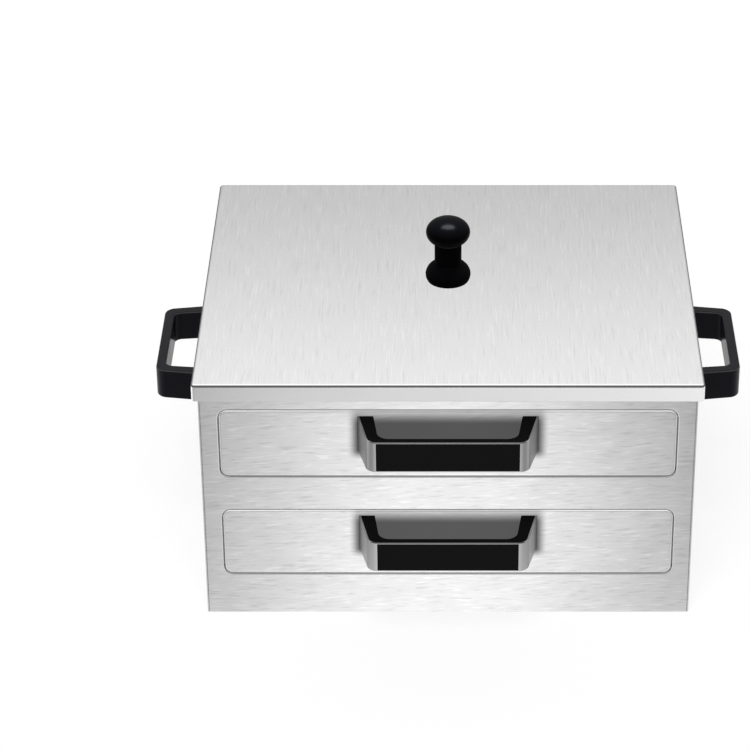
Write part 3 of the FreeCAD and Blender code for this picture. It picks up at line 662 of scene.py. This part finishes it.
def sinkSeat(bm, node):     # the shallow seat that takes the inlay
    low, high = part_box(node)

    def faceOut():
        return [face for face in bm.faces if all(near(vert.co.y, low.y) for vert in face.verts)]

    for place in (low, high):
        cut = [item for face in faceOut() for item in (face, *face.edges, *face.verts)]
        bmesh.ops.bisect_plane(bm, geom=list(set(cut)), dist=hair, plane_co=place, plane_no=up)
    seat = next(face for face in faceOut()
                if all(low.z - closeBy < vert.co.z < high.z + closeBy for vert in face.verts))
    moveFace(bm, seat, (0, high.y - low.y, 0))


def makeGrip(levelName, sizes):
    body, node = f"{levelName}_drawer", f"{levelName}_grip"
    low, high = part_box(f"{node}_band")
    reach, band, barLow = sizes["reach"], sizes["bandT"], high.z - sizes["barH"]
    outer, middle = (reach, sizes["outerR"]), (reach - band, sizes["outerR"] - band)
    inner = (reach - sizes["barT"], sizes["innerR"])
    parts = {"Band": (loopOutline(sizes, 0, 0, sizes["bandFootT"], band, band), (outer, middle),
                      satinBand[levelName], "grip_satin"),
             "Core": (loopOutline(sizes, band, band, sizes["footT"], sizes["legT"], sizes["barT"]),
                      (middle, inner), gripBlack, "grip_black")}
    made = []
    for part, (points, corners, material, slot) in parts.items():
        bm = makeLoop(points, high.z, low.z, barLow, sizes["rise"], corners, high.y)
        if part == "Band":
            sinkSeat(bm, f"{node}_inlay")
        rims = [edge for edge in bm.edges if liesAt(edge, high.z)]
        rims = [edge for edge in rims if any(vert.co.y < high.y - offWall for vert in edge.verts)]
        roundEdges(bm, rims, sizes["edgeR"], sizes["edgeSteps"])
        made.append(finish(f"{levelName}Grip{part}", bm, body, material, f"{node}_{part.lower()}"))
    return made


grips = [piece for levelName in levels for piece in makeGrip(levelName, gripSizes)]


def makeInlay(levelName, sizes):
    low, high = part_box(f"{levelName}_grip_inlay")
    bm = blockBetween(low, high)
    front = [edge for edge in bm.edges if all(near(vert.co.y, low.y) for vert in edge.verts)]
    roundEdges(bm, front, sizes["inlayEdge"], sizes["inlaySteps"])
    return finish(f"{levelName}GripInlay", bm, f"{levelName}_drawer", inlayBlack,
                  f"{levelName}_grip_inlay")


inlays = [makeInlay(levelName, gripSizes) for levelName in levels]
print("drawer grips made")


# screws

screwSizes = {"knobR": 2.5 * mm, "loopR": 2 * mm, "over": 2 * mm, "headH": 2.6 * mm, "rim": 0.9 * mm,
              "rimBend": (0.3, 0.35), "tip": 0.7 * mm, "crossHalf": 1.9 * mm, "slotHalf": 0.42 * mm,
              "crossDeep": 1.4 * mm, "crossTaper": 0.7, "steps": 32, "smoothBelow": 30}


def oneScrew(radius, length, sizes):
    headR, headH, rim, tip = radius + sizes["over"], sizes["headH"], sizes["rim"], sizes["tip"]
    bendIn, bendUp = [share * rim for share in sizes["rimBend"]]
    profile = [(headR - rim, -headH), (headR - bendIn, -headH + bendUp), (headR, -headH + rim),
               (headR, 0), (radius, 0), (radius, length - tip), (radius - tip, length), (0, length)]
    bm = bmesh.new()
    verts = [bm.verts.new((out, 0, height)) for out, height in profile]
    edges = [bm.edges.new(pair) for pair in zip(verts, verts[1:])]
    bmesh.ops.spin(bm, geom=verts + edges, cent=(0, 0, 0), axis=up, angle=2 * math.pi,
                   steps=sizes["steps"], use_merge=True)
    bmesh.ops.remove_doubles(bm, verts=bm.verts, dist=hair)
    far, close = sizes["crossHalf"], sizes["slotHalf"]
    arm = [(far, -close), (far, close), (close, close)]
    turns = [Matrix.Rotation(quarter * math.pi / 2, 3, "Z") for quarter in range(4)]
    cross = [bm.verts.new(turn @ Vector((x, y, -headH))) for turn in turns for x, y in arm]
    slots = [bm.edges.new(pair) for pair in zip(cross, cross[1:] + cross[:1])]
    ring = [edge for edge in bm.edges if liesAt(edge, -headH) and edge.is_boundary]
    bmesh.ops.triangle_fill(bm, edges=ring + slots, use_beauty=True)
    sunk = bmesh.ops.extrude_edge_only(bm, edges=slots)["geom"]
    deep = [item for item in sunk if isinstance(item, bmesh.types.BMVert)]
    bmesh.ops.scale(bm, verts=deep, vec=(sizes["crossTaper"], sizes["crossTaper"], 1))
    bmesh.ops.translate(bm, verts=deep, vec=(0, 0, sizes["crossDeep"]))
    floor = [item for item in sunk if isinstance(item, bmesh.types.BMEdge) and
             all(vert in deep for vert in item.verts)]
    bmesh.ops.edgeloop_fill(bm, edges=floor)
    return bm


def makeScrews(node, body, pointing, shank, sizes):     # one screw, or a pair
    low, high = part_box(node)
    radius = sizes[shank]
    headR = radius + sizes["over"]
    axis = next(index for index in range(3) if pointing[index])
    places = [Vector((low + high) / 2)]
    for other in range(3):
        if other != axis and high[other] - low[other] > 3 * headR:      # a pair of screws lies this way
            for sideOf in (low[other] + headR, high[other] - headR):
                moved = Vector(places[0])
                moved[other] = sideOf
                places.append(moved)
            del places[0]
    bearing = low[axis] + sizes["headH"] if pointing[axis] > 0 else high[axis] - sizes["headH"]
    turn = up.rotation_difference(Vector(pointing)).to_matrix()
    whole = bmesh.new()
    for place in places:
        place[axis] = bearing
        single = oneScrew(radius, high[axis] - low[axis] - sizes["headH"], sizes)
        bmesh.ops.transform(single, matrix=Matrix.Translation(place) @ turn.to_4x4(), verts=single.verts)
        mesh = bpy.data.meshes.new("singleScrew")
        single.to_mesh(mesh)
        single.free()
        whole.from_mesh(mesh)
        bpy.data.meshes.remove(mesh)
    name = node.replace("_s", "S").replace("_h", "H").replace("_g", "G")
    return finish(name, whole, body, screwSteel, node, sizes["smoothBelow"])


knobScrew = makeScrews("knob_screw", "lid", (0, 0, 1), "knobR", screwSizes)
for side, way in (("left", -1), ("right", 1)):
    makeScrews(f"{side}_handle_screws", "cabinet", (way, 0, 0), "loopR", screwSizes)
gripScrews = [makeScrews(f"{levelName}_grip_screws", f"{levelName}_drawer", (0, -1, 0), "loopR", screwSizes)
              for levelName in levels]
print("screws made")

# the knob and the grips leave no image in the brushed sheet beside them
inserts = [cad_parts[node] for node in ("knob_insert", "upper_grip_inserts", "lower_grip_inserts")]
for fitting in [knob, knobScrew] + gripScrews + inserts + grips + inlays:
    fitting.visible_glossy = False


# floor, light and camera

# steel mirrors the floor as a cross of light, brightest under the object and along its two axes
stageLook = {"size": 12.0, "drop": 0.1 * mm, "armHalf": 0.145, "armShift": 0.006, "armLow": 0.38,
             "armHigh": 1.40, "far": 1.3, "edgeFrom": 0.30, "edgeTo": 0.50, "edgeLift": 0.45,
             "glow": 0.7, "shadowShare": 0.33, "bounce": 0.8}


def rayKinds(board):
    rays = board.node("LightPath")
    seen = Wire(board, rays.outputs["Is Camera Ray"]).most(Wire(board, rays.outputs["Is Transmission Ray"]))
    return seen, Wire(board, rays.outputs["Is Glossy Ray"])


def makeFloor(look):
    bm = bmesh.new()
    bmesh.ops.create_grid(bm, x_segments=1, y_segments=1, size=look["size"] / 2)
    bmesh.ops.translate(bm, verts=bm.verts, vec=(0, 0, -look["drop"]))
    mesh = bpy.data.meshes.new("floor")
    bm.to_mesh(mesh)
    bm.free()
    floor = bpy.data.objects.new("floor", mesh)
    bpy.context.collection.objects.link(floor)
    material = bpy.data.materials.new("floorWhite")
    material.use_nodes = True
    tree = material.node_tree
    tree.nodes.clear()
    board = Board(tree)
    seen, glossy = rayKinds(board)
    x, y = board.split(board.wire("TexCoord", "Object"))[:2]

    def arm(place):
        share = place / look["armHalf"]
        return math.e ** (share * share * -0.5)

    away = (x * x + y * y) / look["far"] ** 2
    outer = board.step(x * x, look["edgeFrom"] ** 2, look["edgeTo"] ** 2) * look["edgeLift"]
    cross = arm(x + look["armShift"]).most(arm(y)) * (look["armHigh"] - look["armLow"])
    sweep = (cross + look["armLow"] + outer) / (1 + away * away)
    albedo = look["bounce"] * (1 - glossy) - seen * (look["bounce"] - look["shadowShare"])
    glow = board.wire("Emission", 0, {}, {"Color": grey(1), "Strength": seen * look["glow"] + glossy * sweep})
    colour = board.wire("CombineColor", 0, {}, {"Red": albedo, "Green": albedo, "Blue": albedo})
    matt = board.wire("BsdfDiffuse", 0, {}, {"Color": colour})
    lit = board.wire("AddShader", 0, {}, {0: glow, 1: matt})
    below = board.wire("NewGeometry", "Backfacing")     # clear from below, to show the underside
    clear = board.wire("BsdfTransparent", 0)
    surface = board.wire("MixShader", 0, {}, {0: below, 1: lit, 2: clear})
    board.node("OutputMaterial", {}, {"Surface": surface})
    mesh.materials.append(material)


skyLook = {"plain": 0.5, "frontDim": 0.3, "gain": 1.17, "least": 0.04,
           "stops": [(0.0, 0.48), (0.30, 0.58), (0.40, 0.68), (0.45, 0.86), (0.50, 1.02), (0.60, 1.06),
                     (0.9, 1.25)]}


def makeSky(look):
    world = bpy.data.worlds.new("studio")
    bpy.context.scene.world = world
    world.use_nodes = True
    world.node_tree.nodes.clear()
    board = Board(world.node_tree)
    seen, glossy = rayKinds(board)
    y, z = board.split(board.wire("TexCoord", "Generated"))[1:]
    sky = board.ramp(z, look["stops"])
    front = (y * -1).most(0)
    bright = glossy * look["gain"] * (1 - front * look["frontDim"]).most(look["least"])
    plain = look["plain"] * (1 - glossy) + (1 - look["plain"]) * seen
    reflected = board.wire("Background", 0, {}, {"Color": sky, "Strength": bright})
    sheer = board.wire("Background", 0, {}, {"Color": grey(1), "Strength": plain})
    board.node("OutputWorld", {}, {"Surface": board.wire("AddShader", 0, {}, {0: reflected, 1: sheer})})


lampLook = {"sunStrength": 1.6, "sunAngle": 35, "sunTilt": (30, -4), "catchPlace": (0.01, 0.10, 0.95),
            "catchWidth": 0.54, "catchDepth": 0.32, "catchPower": 30.0, "catchColour": (0.90, 0.95, 1.0)}


def addLamp(data, turn, place=(0, 0, 0)):
    lamp = bpy.data.objects.new(data.name, data)
    lamp.rotation_euler = turn
    lamp.location = place
    bpy.context.collection.objects.link(lamp)
    return lamp


def makeLamps(look):
    sun = bpy.data.lights.new("softSun", "SUN")
    sun.energy, sun.angle = look["sunStrength"], math.radians(look["sunAngle"])
    sunLamp = addLamp(sun, [math.radians(turn) for turn in look["sunTilt"]] + [0])
    sunLamp.visible_glossy = False      # the floor and the sky are all that the steel mirrors
    box = bpy.data.lights.new("catchLight", "AREA")
    box.shape, box.size, box.size_y = "ELLIPSE", look["catchWidth"], look["catchDepth"]
    box.energy, box.color = look["catchPower"], look["catchColour"]
    catchLamp = addLamp(box, (0, 0, 0), look["catchPlace"])
    lit = bpy.data.collections.new("catchLit")      # only the knob takes this small light
    lit.objects.link(knob)
    catchLamp.light_linking.receiver_collection = lit


cameraLook = {"place": (0.0016, -2.150, 1.389), "tilt": 59.54, "focal": 142.1, "sensor": 36.0,
              "shift": -0.10}


def makeCamera(look):
    data = bpy.data.cameras.new("camera")
    data.lens, data.sensor_width, data.shift_x = look["focal"], look["sensor"], look["shift"]
    camera = bpy.data.objects.new("camera", data)
    camera.location = look["place"]
    camera.rotation_euler = (math.radians(look["tilt"]), 0, 0)
    bpy.context.collection.objects.link(camera)
    bpy.context.scene.camera = camera


makeFloor(stageLook)
makeSky(skyLook)
makeLamps(lampLook)
makeCamera(cameraLook)
bpy.context.scene.view_settings.view_transform = "Standard"
print("floor, light and camera set")
